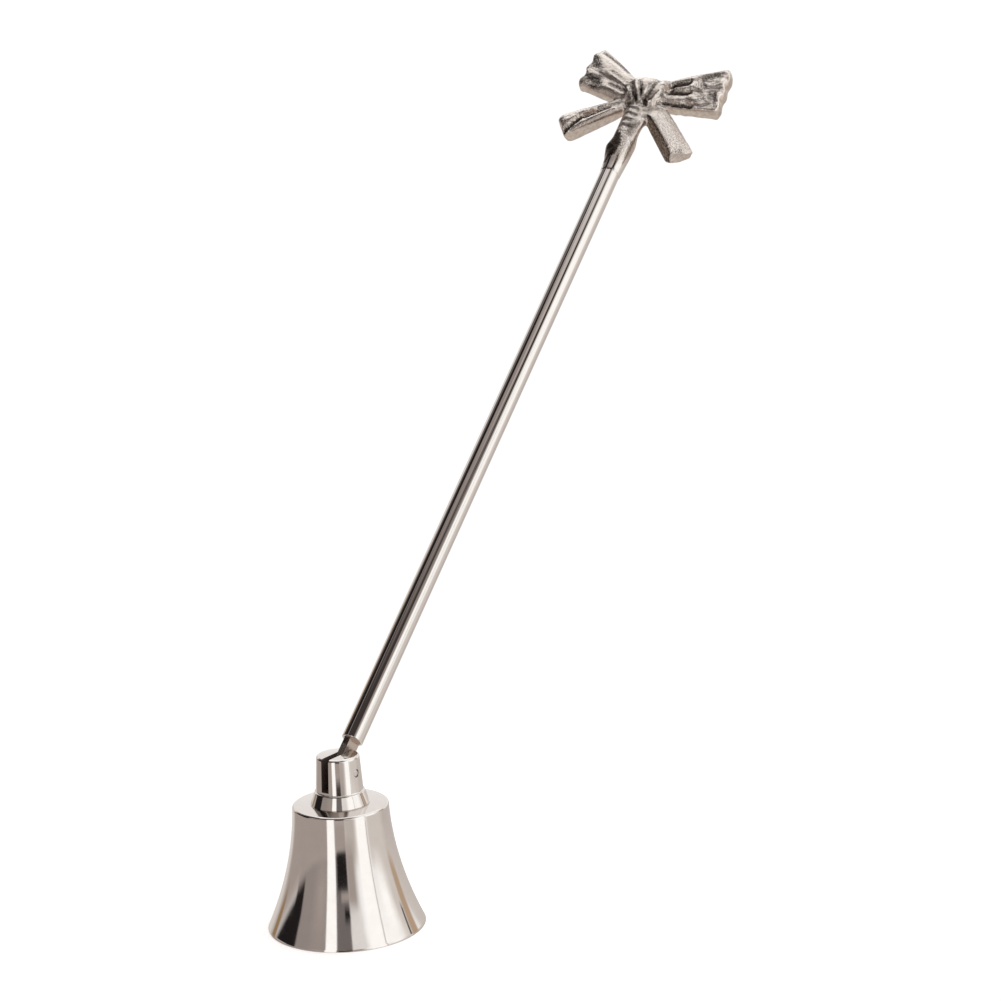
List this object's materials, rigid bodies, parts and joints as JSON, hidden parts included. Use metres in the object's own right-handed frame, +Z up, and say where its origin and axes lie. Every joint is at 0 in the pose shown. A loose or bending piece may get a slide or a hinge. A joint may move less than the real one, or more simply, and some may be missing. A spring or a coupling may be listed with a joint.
{
  "type": "candle snuffer",
  "caption": "Candle snuffer: a flared metal bell on a slotted post, hinged by a pin to a slim tube handle that ends in a cast ribbon-bow finial.",
  "frame": {"origin": "centre of the bell's rim, on the plane that the rim stands on", "axes": "+Z up along the bell's axis, +Y along the hinge pin, +X the way the handle leans at rest"},
  "size_m": [0.2049, 0.0472, 0.2235],
  "materials": {
    "turned_nickel": "polished",
    "drawn_tube_nickel": "polished",
    "cast_nickel": "satin",
    "plated_steel": "gloss"
  },
  "bodies": {
    "bell": {"bell_cup": "turned_nickel", "hinge_post": "turned_nickel", "hinge_pin": "plated_steel", "post_screw": "plated_steel", "spring_washer": "plated_steel"},
    "handle": {"hinge_tongue": "turned_nickel", "handle_tube": "drawn_tube_nickel", "bow_finial": "cast_nickel"}
  },
  "joints": [
    {"name": "handle_hinge", "type": "hinge", "parent": "bell", "child": "handle", "pos_m": [0, 0, 0.0437], "axis": [0, 1, 0], "range_deg": [-147.5, 56.5]}
  ]
}
